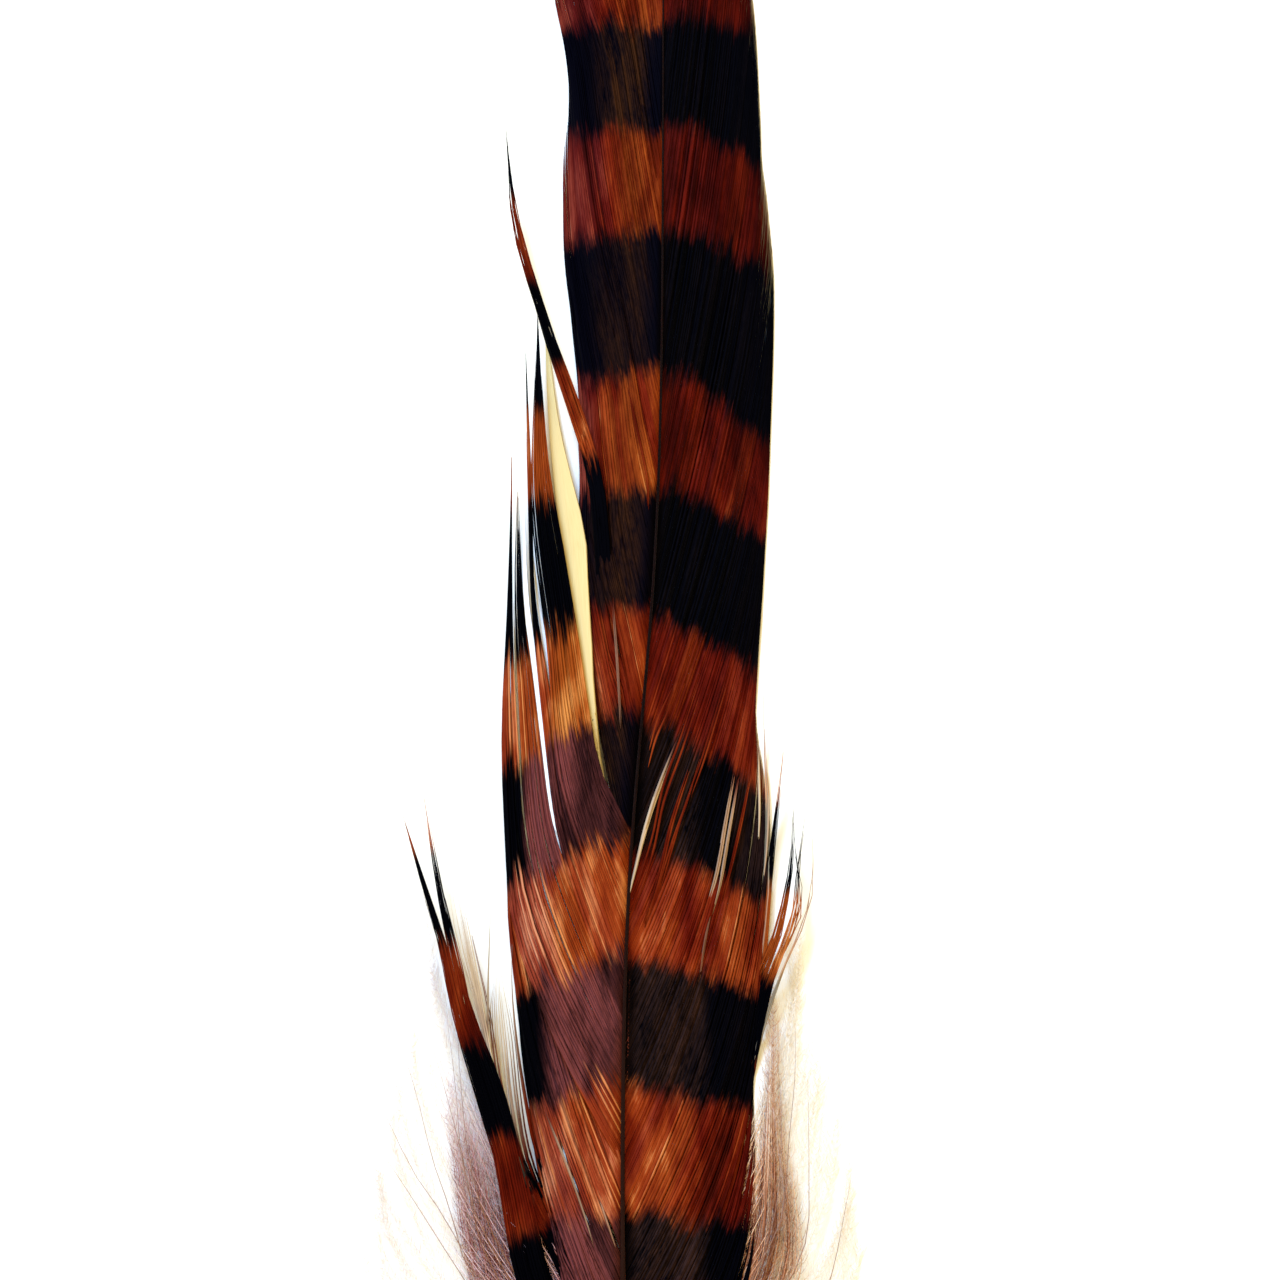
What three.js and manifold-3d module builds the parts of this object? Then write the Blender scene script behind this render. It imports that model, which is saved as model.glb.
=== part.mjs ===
// A dyed, barred rooster schlappen feather lying back side up on a flat surface.
// One grown piece: a tapering shaft that carries two vanes, each a row of pointed
// locks of barbs. A lock is one thin blade that starts inside the shaft, sweeps
// outwards and forwards, and sinks towards the surface. Millimetres, +Z up, the
// quill towards -Y and the tip towards +Y.
//
// Plan positions are written as [x, y]: y is the station, the distance from the
// end of the quill, and x is to the right of the feather's middle line.

import * as THREE from "three";
import { mergeVertices } from "three/addons/utils/BufferGeometryUtils.js";
import Module from "manifold-3d";

const wasm = await Module();
wasm.setup();

// The shaft

const SHAFT_END = 194; // station where the shaft thins out among the last barbs
const SHAFT_STEPS = 24;
const SHAFT_SIDES = 8;
const SHAFT_RADIUS = [[0, 0.5], [3, 0.85], [10, 1.1], [22, 1], [34, 0.7], [50, 0.5], [110, 0.4], [194, 0.2]];
const SHAFT_HEIGHT = [[0, 0.4], [3, 0.72], [10, 0.93], [16, 1.15], [26, 1.9], [60, 3.5], [100, 3.9],
  [140, 3.2], [175, 1.8], [194, 0.6]];

// The vanes: how far a barb reaches forwards from its root, and where it ends

const REACH = [[18, 16], [30, 29], [45, 44], [60, 50], [85, 51], [110, 52], [130, 47], [150, 37], [175, 20],
  [194, 6]];
const SWEEP = [[18, 1.9], [60, 1.8], [100, 1.6], [194, 1.5]]; // how fast a barb turns forwards
const RIGHT_EDGE = [[44, 9.8], [50, 10.8], [60, 10.9], [68, 11.3], [76, 12.2], [88, 12.7], [108, 11.2],
  [127, 12.1], [142, 12.7], [157, 11.7], [169, 10.8], [181, 8.6], [192, 6], [200, 3.6]];
const LEFT_EDGE = [[44, -8.4], [50, -9.6], [60, -10.7], [75, -12], [88, -12.5], [98, -12.8], [110, -12.8],
  [116, -9.5], [124, -6.4], [133, -5.2], [142, -6.4], [150, -7.2], [169, -8.1], [181, -6.2], [192, -2.4],
  [200, 2.6]];
const RIGHT_DOWN_EDGE = [[34, 20], [44, 21.4], [54, 20.4], [64, 18.5], [76, 15]];
const LEFT_DOWN_EDGE = [[34, -22], [44, -25], [54, -25.5], [64, -24], [76, -20]];
const EDGE_HEIGHT = 0.1; // the ends of the barbs lie on the surface
const DOWN_START = 20; // the first row of downy locks, above the bare quill
const VANE_START = 42; // from here on the rows are webbed vane
const SPLIT = [58, 86]; // the left vane is split into loose locks between these stations
const LAST_ROW = 192;

// One blade

const BLADE_STEPS = 6;
const VANE_PITCH = 7.2; // distance between two locks along the shaft
const DOWN_PITCH = 4.4;
const VANE_WIDTH = 4.3;
const DOWN_WIDTH = 4.6;
const WIDEST = 0.3; // share of its length at which a blade is widest
const ROW_POINT = 1.7; // how late a lock of the vane narrows to its point
const LOOSE_POINT = 1.1;
const BLADE_THICKNESS = 0.9;
const BURIED = 0.2; // how far below the shaft's middle a blade starts
const SHINGLE = 0.12; // tilt of a blade, so that each lies over the next one

// A value read from a table of [station, value] pairs on a smooth curve.
function along(table, y) {
  let i = 1;
  while (i < table.length - 1 && table[i][0] < y) i++;
  const [ya, a] = table[i - 1];
  const [yb, b] = table[i];
  const before = table[i - 2] ?? table[i - 1];
  const after = table[i + 1] ?? table[i];
  const slopeA = (b - before[1]) / (yb - before[0]);
  const slopeB = (after[1] - a) / (after[0] - ya);
  const step = yb - ya;
  const t = THREE.MathUtils.clamp((y - ya) / step, 0, 1);
  return (
    (1 + 2 * t) * (1 - t) ** 2 * a + t * (1 - t) ** 2 * step * slopeA +
    t * t * (3 - 2 * t) * b + t * t * (t - 1) * step * slopeB
  );
}

// The shaft's middle line: a slow S seen from above, a low arch seen from the side.
function shaftX(y) {
  return 0.2 + 2 * Math.tanh((y - 101) / 22) + 3.2 * Math.exp(-y / 16);
}

function shaftPoint(y) {
  return new THREE.Vector3(shaftX(y), y, along(SHAFT_HEIGHT, y));
}

// A solid from rings of points: each ring joins the next, and both ends are closed by a fan.
function loft(rings) {
  const sides = rings[0].length;
  const positions = rings.flat().flatMap((p) => [p.x, p.y, p.z]);
  const index = [];
  for (let r = 0; r < rings.length - 1; r++)
    for (let s = 0; s < sides; s++) {
      const a = r * sides + s;
      const b = r * sides + ((s + 1) % sides);
      index.push(a, b, b + sides, a, b + sides, a + sides);
    }
  const last = (rings.length - 1) * sides;
  for (let s = 1; s < sides - 1; s++) {
    index.push(0, s + 1, s);
    index.push(last, last + s, last + s + 1);
  }
  const geometry = new THREE.BufferGeometry();
  geometry.setAttribute("position", new THREE.Float32BufferAttribute(positions, 3));
  geometry.setIndex(index);
  return geometry;
}

function shaftGeometry() {
  const rings = [];
  for (let i = 0; i <= SHAFT_STEPS; i++) {
    const y = (SHAFT_END * i) / SHAFT_STEPS;
    const middle = shaftPoint(y);
    const radius = along(SHAFT_RADIUS, y);
    const ring = [];
    for (let s = 0; s < SHAFT_SIDES; s++) {
      const angle = (2 * Math.PI * (s + 0.5)) / SHAFT_SIDES;
      ring.push(new THREE.Vector3(radius * Math.cos(angle), 0, -radius * Math.sin(angle)).add(middle));
    }
    rings.push(ring);
  }
  return loft(rings);
}

// How wide a blade is at a share t of its length.
function taper(t, point) {
  if (t < WIDEST) return 0.8 + 0.2 * (t / WIDEST);
  return 1 - 0.93 * ((t - WIDEST) / (1 - WIDEST)) ** point;
}

// A blade along a path from the shaft to the lock's tip, with a low ridge above and below.
function bladeGeometry({ path, width, side, point }) {
  const curve = new THREE.CatmullRomCurve3(path, false, "catmullrom", 0.5);
  const rings = [];
  for (let i = 0; i <= BLADE_STEPS; i++) {
    const t = i / BLADE_STEPS;
    const middle = curve.getPoint(t);
    const heading = curve.getTangent(t);
    const across = new THREE.Vector3(heading.y, -heading.x, -side * SHINGLE).normalize();
    const up = new THREE.Vector3().crossVectors(across, heading).normalize();
    const half = (width * taper(t, point)) / 2;
    const thick = (BLADE_THICKNESS * (1 - 0.7 * t)) / 2;
    rings.push([
      middle.clone().addScaledVector(across, half),
      middle.clone().addScaledVector(up, -thick),
      middle.clone().addScaledVector(across, -half),
      middle.clone().addScaledVector(up, thick),
    ]);
  }
  return loft(rings);
}

// A path given as plan points is raised from the shaft's height to the height of its tip.
function raised(plan, tipHeight) {
  const rootHeight = along(SHAFT_HEIGHT, plan[0][1]) - BURIED;
  return plan.map(([x, y], i) => {
    const t = i / (plan.length - 1);
    return new THREE.Vector3(x, y, rootHeight + (tipHeight - rootHeight) * t ** 1.25);
  });
}

// A lock of the closed vane, whose tip lies on the vane's edge.
function rowLock(root, side) {
  const downy = root < VANE_START;
  const edge = side > 0 ? (downy ? RIGHT_DOWN_EDGE : RIGHT_EDGE) : downy ? LEFT_DOWN_EDGE : LEFT_EDGE;
  const reach = along(REACH, root);
  const tipX = along(edge, root + reach);
  const sweep = along(SWEEP, root);
  const plan = [0, 0.2, 0.4, 0.6, 0.8, 1].map((t) => [
    shaftX(root) + (tipX - shaftX(root)) * (1 - (1 - t) ** sweep),
    root + reach * t,
  ]);
  const width = downy ? DOWN_WIDTH : VANE_WIDTH;
  return { path: raised(plan, EDGE_HEIGHT), width, side, point: ROW_POINT };
}

// Locks that have parted from the vane and go their own way: plan points from root to tip.
const LOOSE_LOCKS = [
  { name: "split inner", side: -1, width: 5, tipHeight: 2.2, plan: [[-1.2, 80], [-3.7, 88], [-5.5, 96],
    [-6.6, 104], [-7.4, 112], [-8.6, 121], [-9.2, 130], [-9.5, 139]] },
  { name: "split second", side: -1, width: 3.2, tipHeight: 1.6, plan: [[-1.3, 73], [-6.2, 83], [-8.9, 93],
    [-10.1, 103], [-10.6, 113], [-10.8, 124], [-10.7, 136]] },
  { name: "split third", side: -1, width: 3, tipHeight: 1.2, plan: [[-1.5, 68], [-6.9, 77], [-10.1, 87],
    [-11.1, 98], [-11.6, 109], [-11.7, 121.5]] },
  { name: "split outer", side: -1, width: 3.2, tipHeight: 0.8, plan: [[-1.6, 61], [-7.5, 70], [-10.8, 82],
    [-12, 94], [-12.5, 106], [-12.4, 118.5]] },
  { name: "stray long", side: -1, width: 1.7, tipHeight: 2.6, plan: [[-0.6, 90], [-2.6, 107], [-4, 124.5],
    [-6.2, 131.1], [-9, 138.7], [-11.4, 147.25], [-12.6, 156.8]] },
  { name: "stray low", side: -1, width: 3.8, tipHeight: 1.8, plan: [[-1.2, 30], [-7, 41], [-10.6, 51],
    [-13.8, 62], [-17, 72.5], [-19.4, 83], [-22.3, 92]] },
  { name: "stray low twin", side: -1, width: 1.9, tipHeight: 1.6, plan: [[-1.3, 34], [-7.2, 45], [-10.9, 55],
    [-14.2, 66], [-17, 76], [-18.9, 85], [-20.4, 93.5]] },
  { name: "stray pale", side: -1, width: 1.9, tipHeight: 1.2, plan: [[-1.4, 36.5], [-7.2, 47], [-11, 57.5],
    [-13.6, 66], [-15.2, 74.5], [-17.3, 85]] },
  { name: "right whisker high", side: 1, width: 1.8, tipHeight: 1, plan: [[-1.7, 50], [5, 60], [9.9, 72],
    [12.2, 84.6], [12.9, 89.3], [13.6, 97.8], [13.8, 101.6]] },
  { name: "right whisker middle", side: 1, width: 1.6, tipHeight: 1, plan: [[-1.7, 45], [4.6, 55], [9.6, 66],
    [12.2, 76.5], [14, 84.6], [14.6, 92.4]] },
  { name: "right whisker low", side: 1, width: 2, tipHeight: 1.2, plan: [[-1.7, 40], [4.4, 49.5], [9.4, 62.5],
    [12.8, 76.8], [14.7, 83.5], [15.4, 87.5], [16.2, 93]] },
  { name: "tip", side: 1, width: 2, tipHeight: 0.1, plan: [[2.2, 186], [2.4, 190], [2.7, 194], [3, 197],
    [3.2, 200]] },
];

function allLocks() {
  const locks = LOOSE_LOCKS.map(({ plan, tipHeight, width, side }) => ({
    path: raised(plan, tipHeight),
    width,
    side,
    point: LOOSE_POINT,
  }));
  for (const side of [1, -1]) {
    for (let root = DOWN_START; root < VANE_START; root += DOWN_PITCH) locks.push(rowLock(root, side));
    for (let root = VANE_START; root <= LAST_ROW; root += VANE_PITCH) {
      const split = side < 0 && root > SPLIT[0] && root < SPLIT[1];
      if (!split) locks.push(rowLock(root, side));
    }
  }
  return locks;
}

// A three.js geometry as a manifold-3d solid, and back.
function solidOf(geometry) {
  const bare = geometry.clone();
  bare.deleteAttribute("normal");
  bare.deleteAttribute("uv");
  const merged = mergeVertices(bare, 1e-4);
  return new wasm.Manifold(
    new wasm.Mesh({
      numProp: 3,
      vertProperties: merged.attributes.position.array,
      triVerts: new Uint32Array(merged.index.array),
    }),
  );
}

function geometryOf(solid) {
  const mesh = solid.getMesh();
  const geometry = new THREE.BufferGeometry();
  geometry.setAttribute("position", new THREE.BufferAttribute(mesh.vertProperties, 3));
  geometry.setIndex(new THREE.BufferAttribute(mesh.triVerts, 1));
  return geometry;
}

// What is cut away under the surface.
const BELOW = { width: 100, length: 260, depth: 10, margin: 30 };

// The whole feather, pressed flat where it touches the surface. Small voids shut in between
// the blades are filled, by keeping only the outer skin.
function featherGeometry() {
  const below = new THREE.BoxGeometry(BELOW.width, BELOW.length, BELOW.depth);
  below.translate(0, BELOW.length / 2 - BELOW.margin, -BELOW.depth / 2);
  let solid = solidOf(shaftGeometry());
  for (const lock of allLocks()) solid = solid.add(solidOf(bladeGeometry(lock)));
  const skins = solid.subtract(solidOf(below)).decompose();
  return geometryOf(skins.reduce((a, b) => (b.volume() > a.volume() ? b : a)));
}

const keratin = new THREE.MeshStandardMaterial({ color: 0x8a3a1c, roughness: 0.6, metalness: 0 });

const feather = new THREE.Mesh(featherGeometry(), keratin);
feather.name = "feather";

// The origin is under the middle of the feather's box, on the surface.
feather.geometry.computeBoundingBox();
const middle = feather.geometry.boundingBox.getCenter(new THREE.Vector3());
feather.position.set(-middle.x, -middle.y, 0);

const group = new THREE.Group();
group.add(feather);

export default group;
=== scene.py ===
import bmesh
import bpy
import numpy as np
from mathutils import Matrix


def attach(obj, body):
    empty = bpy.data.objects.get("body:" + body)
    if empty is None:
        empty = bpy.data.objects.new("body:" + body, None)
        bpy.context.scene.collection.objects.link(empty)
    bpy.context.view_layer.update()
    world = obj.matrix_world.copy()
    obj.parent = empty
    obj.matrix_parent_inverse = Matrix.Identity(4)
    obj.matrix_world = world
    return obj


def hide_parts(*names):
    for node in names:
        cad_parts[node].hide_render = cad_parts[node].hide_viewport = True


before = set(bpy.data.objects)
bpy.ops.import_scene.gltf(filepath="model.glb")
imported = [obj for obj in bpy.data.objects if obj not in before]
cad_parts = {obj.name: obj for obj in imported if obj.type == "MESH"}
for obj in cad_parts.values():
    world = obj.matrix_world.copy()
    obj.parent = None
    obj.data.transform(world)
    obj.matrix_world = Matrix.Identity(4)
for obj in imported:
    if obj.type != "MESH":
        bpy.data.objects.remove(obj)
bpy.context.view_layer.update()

# A dyed, barred rooster schlappen feather that lies back side up on a pale floor. Its places are
# written in millimetres: x to the right of its middle line, the station (the distance from the end
# of the quill towards the tip) and the height above the floor.

# The shaft: at the bottom a bare horn tube, cream and a little see-through, that thins into a dark,
# springy rod and arches off the floor on its way to the tip. One outline is spun into a straight
# taper, and the taper is then bent onto the arch.

SHAFT_END = 194
SHAFT_RINGS, SHAFT_SIDES = 90, 16
QUILL_TIP = [(0, 0.0), (0, 0.3), (0.15, 0.42)]  # station and radius where the outline rounds its end
ROD_DEPTH = 1.2  # how much deeper than wide the rod is below its middle, from where it leaves the quill
MIDDLE_X, MIDDLE_STATION = -2.080, 100.005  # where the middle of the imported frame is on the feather
SHAFT_RADIUS = [[0, 0.5], [3, 0.85], [10, 1.1], [22, 1], [34, 0.6], [50, 0.24], [64, 0.19], [110, 0.14],
                [194, 0.05]]
SHAFT_HEIGHT = [[0, 0.4], [3, 0.72], [10, 0.93], [16, 1.15], [26, 1.9], [60, 3.5], [100, 3.9], [140, 3.2],
                [175, 1.8], [194, 0.6]]


def smooth(table, at):
    """The value at a station, on a smooth curve through the pairs of a table."""
    s, v = np.array(table, float).T
    slope = (np.r_[v[1:], v[-1]] - np.r_[v[0], v[:-1]]) / (np.r_[s[1:], s[-1]] - np.r_[s[0], s[:-1]])
    i = np.clip(np.searchsorted(s, at), 1, len(s) - 1)
    step = s[i] - s[i - 1]
    t = np.clip((at - s[i - 1]) / step, 0, 1)
    start = (1 + 2 * t) * (1 - t) ** 2 * v[i - 1] + t * (1 - t) ** 2 * step * slope[i - 1]
    return start + t * t * (3 - 2 * t) * v[i] + t * t * (t - 1) * step * slope[i]


def shaft_x(station):
    """The shaft's line: it steps to the right in one long bend, and the quill's end curls back."""
    bend = 2 * np.tanh((station - 101) / 22)
    quill_curl = 3.2 * np.exp(-station / 16)
    return 0.2 + bend + quill_curl


def in_frame(x, station, height):
    """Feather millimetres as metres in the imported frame."""
    return np.stack(np.broadcast_arrays(x - MIDDLE_X, station - MIDDLE_STATION, height), -1) * 1e-3


def shader(name):
    """A new material, its node tree and its surface node."""
    material = bpy.data.materials.new(name)
    material.use_nodes = True
    return material, material.node_tree, material.node_tree.nodes["Principled BSDF"]


def node(tree, kind, *inputs, **settings):
    """A shader node whose inputs are numbers, colours or the outputs of other nodes."""
    made = tree.nodes.new("ShaderNode" + kind)
    for key, value in settings.items():
        setattr(made, key, value)
    for socket, value in zip(made.inputs, inputs):
        if isinstance(value, bpy.types.NodeSocket):
            tree.links.new(value, socket)
        elif value is not None:
            socket.default_value = value
    return made


def sums(tree, operation, *inputs):
    """The result of one sum, such as MULTIPLY_ADD, on numbers or outputs."""
    return node(tree, "Math", *inputs, operation=operation).outputs[0]


def noise(tree, place, scale, *detail):
    """Noise over a place that is stretched by a scale."""
    stretched = node(tree, "Mapping", place, (0, 0, 0), (0, 0, 0), scale).outputs[0]
    return node(tree, "TexNoise", stretched, None, 1.0, *detail).outputs[0]


def mixed(tree, share, first, second):
    """Two colours mixed by a share."""
    made = node(tree, "Mix", data_type="RGBA")
    for socket, value in ((made.inputs[0], share), (made.inputs[6], first), (made.inputs[7], second)):
        if isinstance(value, bpy.types.NodeSocket):
            tree.links.new(value, socket)
        else:
            socket.default_value = value if socket.type == "VALUE" else (*value, 1)
    return made.outputs[2]


def ramp(tree, share, *stops):
    """A colour ramp from (position, colour) stops."""
    made = node(tree, "ValToRGB", share)
    while len(made.color_ramp.elements) < len(stops):
        made.color_ramp.elements.new(0.5)
    for element, (position, colour) in zip(made.color_ramp.elements, stops):
        element.position = position
        element.color = (*colour, 1)
    return made.outputs[0]


def finish_piece(piece, material):
    """Puts a made piece into the scene, on the feather's one body and in place of its plain solid."""
    bpy.context.scene.collection.objects.link(piece)
    piece.data.materials.append(material)
    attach(piece, "root")
    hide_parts("feather")


bm = bmesh.new()
rings = [(y, smooth(SHAFT_RADIUS, y)) for y in np.linspace(0.6, SHAFT_END, SHAFT_RINGS)]
outline = QUILL_TIP + rings + [(SHAFT_END, 0.0)]
chain = [bm.verts.new((radius, y, 0)) for y, radius in outline]
for low, high in zip(chain, chain[1:]):
    bm.edges.new((low, high))
bmesh.ops.spin(bm, geom=bm.verts[:] + bm.edges[:], axis=(0, 1, 0), cent=(0, 0, 0), steps=SHAFT_SIDES,
               angle=2 * np.pi, use_merge=True)
bmesh.ops.remove_doubles(bm, verts=bm.verts, dist=1e-4)
for v in bm.verts:
    past_quill = np.clip((v.co.y - 24) / 20, 0, 1)
    depth = 1 + past_quill * (ROD_DEPTH if v.co.z < 0 else 0)
    height = max(v.co.z * depth + smooth(SHAFT_HEIGHT, v.co.y), 0.0)
    v.co = in_frame(v.co.x + shaft_x(v.co.y), v.co.y, height)
bmesh.ops.recalc_face_normals(bm, faces=bm.faces)
shaft_mesh = bpy.data.meshes.new("shaft")
bm.to_mesh(shaft_mesh)
bm.free()
for polygon in shaft_mesh.polygons:
    polygon.use_smooth = True

horn, tree, surface = shader("horn of the shaft")
place = node(tree, "TexCoord").outputs["Object"]
station = node(tree, "SeparateXYZ", place).outputs[1]
upwards = node(tree, "MapRange", station, -0.1, 0.0).outputs[0]
grain = noise(tree, place, (3000, 120, 3000), 3.0)
tube = ramp(tree, upwards, (0.0, (0.5, 0.33, 0.17)), (0.12, (0.62, 0.42, 0.22)),
            (0.24, (0.42, 0.2, 0.09)), (0.4, (0.02, 0.006, 0.004)), (1.0, (0.006, 0.002, 0.002)))
streak_colour = (0.018, 0.007, 0.005)
streaked = mixed(tree, sums(tree, "MULTIPLY", grain, 0.15), tube, streak_colour)
tree.links.new(streaked, surface.inputs["Base Color"])
rough = node(tree, "MapRange", grain, 0.3, 0.7, 0.28, 0.45).outputs[0]
tree.links.new(rough, surface.inputs["Roughness"])
surface.inputs["Subsurface Weight"].default_value = 0.15
surface.inputs["Subsurface Radius"].default_value = (1.0, 0.5, 0.25)
surface.inputs["Subsurface Scale"].default_value = 0.0008
tree.links.new(node(tree, "Bump", 0.25, 0.00005, grain).outputs[0], surface.inputs["Normal"])
surface.inputs["Specular IOR Level"].default_value = 0.12
finish_piece(bpy.data.objects.new("shaft", shaft_mesh), horn)

# The right vane: a soft web of long barbs that leave the shaft at a sharp angle, run forwards and
# end along the vane's edge, hooked together in small locks. Each barb is a thin ribbon with a ridge,
# pointed at its end, and lies over the next one like a tile.

# Tables by station, in mm: how far forwards the barb rooted there reaches, where the vane's edge is,
# and how sharply the barb turns outwards.
REACH = [[18, 16], [30, 29], [45, 44], [60, 50], [85, 51], [110, 55], [130, 52], [150, 41], [175, 22],
         [194, 6]]
RIGHT_EDGE = [[34, 7.5], [44, 9.8], [50, 10.8], [60, 10.9], [68, 10.8], [76, 11.5], [82, 11.75], [88, 12.15],
              [95, 11.8], [101, 11], [108, 11.2], [118, 11.85], [127, 12.35], [142, 12.7], [150, 12.05],
              [154, 11.55], [158, 11.4], [169, 10.7], [181, 8.7], [190, 6.6], [196, 4.7], [200, 3.15]]
SWEEP = [[18, 1.9], [60, 1.8], [100, 1.5], [194, 1.35]]
BARB_PITCH, BARB_WOBBLE = 0.3, 0.13
BARB_WIDTH, BARB_DEPTH = 0.15, 0.04  # half of each
TILT = 0.22  # how far a barb rolls over the next one
TIP_HEIGHT = 0.14
VANE_WIDTH = 12
DROP = 1.1  # the power by which the web falls from the shaft to its edge
LOWEST = 0.03  # nothing comes closer to the floor
T = np.linspace(0, 1, 17)  # the steps along every barb


def eased(t, start, end):
    """From 0 at the start to 1 at the end, without a kink."""
    t = np.clip((t - start) / (end - start), 0, 1)
    return t * t * (3 - 2 * t)


def barb_roots(low, high, rng):
    """Stations at which barbs leave the shaft, spaced a little unevenly."""
    roots = np.arange(low, high, BARB_PITCH)
    return roots + rng.uniform(-BARB_WOBBLE, BARB_WOBBLE, len(roots))


def row_paths(roots, edge, sweep=SWEEP, tip_height=TIP_HEIGHT):
    """Paths of barbs whose tips lie along an edge: x, station and height at every step of T."""
    roots = roots[:, None]
    reach = smooth(REACH, roots)
    tip = smooth(edge, roots + reach)
    out = 1 - (1 - T) ** smooth(sweep, roots)
    base = smooth(SHAFT_HEIGHT, roots)
    return np.stack([shaft_x(roots) + (tip - shaft_x(roots)) * out, roots + reach * T,
                     base + (tip_height - base) * out ** DROP], -1)


def in_locks(paths, sizes, pull, rng):
    """Barbs drawn together into locks; returns the paths and each barb's lock."""
    lock = np.repeat(np.arange(len(paths)), rng.integers(*sizes, len(paths)))[:len(paths)]
    middle = np.array([np.flatnonzero(lock == k).mean() for k in lock]).round().astype(int)
    return paths + pull[:, None, None] * eased(T, 0.35, 1)[:, None] * (paths[middle] - paths), lock


def varied(rng, lock, of_barb, of_lock):
    """A random amount for each barb: its own, and one that it shares with its lock."""
    return rng.normal(0, of_barb, len(lock)) + rng.normal(0, of_lock, lock.max() + 1)[lock]


def natural(paths, lock, rng, stray=1.0):
    """Small differences between barbs: how they curve, how high they ride and where they stop."""
    count = len(paths)
    stray = np.broadcast_to(stray, count)[:, None]
    side = np.sign(paths[:, -1, 0] - shaft_x(paths[:, 0, 1]))
    bow = varied(rng, lock, 0.1, 0.16)
    wave = rng.normal(0, 0.05, count)[:, None] * np.sin(2 * np.pi * (1.4 * T + rng.random((count, 1))))
    lift = varied(rng, lock, 0.04, 0.07)
    cut = 1 - stray[:, 0] * 0.05 * rng.random(count) ** 2
    out = paths.copy()
    for k in range(3):
        out[..., k] = [np.interp(T * c, T, p) for c, p in zip(cut, paths[..., k])]
    out[..., 0] += stray * ((bow * side)[:, None] * np.sin(np.pi * T) + wave * T)
    out[..., 2] = np.maximum(out[..., 2] + lift[:, None] * np.sin(np.pi * T ** 0.8), 0.12)
    return out


def off_line(paths, line):
    """How far each point is to the right of a line up the feather, and how far up the line it is."""
    y, x = np.array(line, float).T
    off = paths[..., 0] - np.interp(paths[..., 1], y, x)
    return off, np.clip((paths[..., 1] - y[0]) / (y[-1] - y[0]), 0, 1)


def parted(paths, slits):
    """Barbs pushed apart along slits, each with the half width of its gap and its line."""
    out = paths.copy()
    for half, line in slits:
        off, share = off_line(out, line)
        out[..., 0] += half * np.sin(np.pi * share) ** 0.6 * np.sign(off) * np.exp(-(off / 0.75) ** 2)
    return out


def backed(paths, plain, lock):
    """The web with a second layer of barbs close under it, which shows where its locks part."""
    under = plain.copy()
    under[..., 2] = np.maximum(under[..., 2] - 0.2, 0.1)
    return np.concatenate([paths, under]), np.tile(lock, 2)


def barb_mesh(name, paths, half, thick, tilt, sides=4, **values):
    """Joined closed ribbons along paths, from their half widths and half depths. Values become
    attributes of the same names. The map OFBake has one row for each barb, with its length along u
    and a free margin between the rows; a barb's two ends are small discs in its row."""
    thick = np.broadcast_to(thick, paths.shape[:2])
    count, steps = paths.shape[:2]
    heading = np.gradient(paths, axis=1)
    heading /= np.linalg.norm(heading, axis=2, keepdims=True)
    across = np.stack([heading[..., 1], -heading[..., 0], np.broadcast_to(tilt, paths.shape[:2])], -1)
    across /= np.linalg.norm(across, axis=2, keepdims=True)
    up = np.cross(across, heading)
    turn = 2 * np.pi * np.arange(sides) / sides
    ring = (paths[:, :, None] + (across * half[..., None])[:, :, None] * np.cos(turn)[:, None]
            - (up * thick[..., None])[:, :, None] * np.sin(turn)[:, None])
    ring[..., 2] = np.maximum(ring[..., 2], LOWEST)
    points = in_frame(ring[..., 0], ring[..., 1], ring[..., 2]).reshape(-1, 3)

    i, k = np.meshgrid(np.arange(steps - 1), np.arange(sides), indexing="ij")
    wall = np.stack([i * sides + k, i * sides + (k + 1) % sides,
                     (i + 1) * sides + (k + 1) % sides, (i + 1) * sides + k], -1).reshape(-1)
    ends = np.r_[np.arange(sides)[::-1], (steps - 1) * sides + np.arange(sides)]
    loops = (np.r_[wall, ends][None] + np.arange(count)[:, None] * steps * sides).reshape(-1)
    lengths = np.tile(np.r_[np.full(len(wall) // 4, 4), [sides, sides]], count)
    wall_u = np.stack([i, i, i + 1, i + 1], -1).reshape(-1) / (steps - 1)
    wall_v = np.stack([k, k + 1, k + 1, k], -1).reshape(-1) / sides
    end_u = 0.5 + 0.5 * np.cos(turn)
    end_v = 0.5 + 0.5 * np.sin(turn)
    u = np.r_[wall_u, end_u * 0.01, 1 - end_u * 0.01]
    v = np.r_[wall_v, end_v, end_v]
    row = np.arange(count)[:, None] + 0.1 + 0.8 * v
    uv = np.stack([np.tile(u, count), row.reshape(-1) / count], -1)

    mesh = bpy.data.meshes.new(name)
    mesh.vertices.add(len(points))
    mesh.vertices.foreach_set("co", points.reshape(-1))
    mesh.loops.add(len(loops))
    mesh.loops.foreach_set("vertex_index", loops)
    mesh.polygons.add(len(lengths))
    mesh.polygons.foreach_set("loop_start", np.r_[0, np.cumsum(lengths)[:-1]])
    mesh.uv_layers.new(name="OFBake").uv.foreach_set("vector", uv.reshape(-1))
    for key, value in values.items():
        value = value[:, None] if np.ndim(value) == 1 else value
        each = np.repeat(np.broadcast_to(value, (count, steps)).reshape(-1), sides)
        mesh.attributes.new(key, "FLOAT", "POINT").data.foreach_set("value", each)
    mesh.update(calc_edges=True)
    mesh.validate()
    return bpy.data.objects.new(name, mesh)


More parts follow.
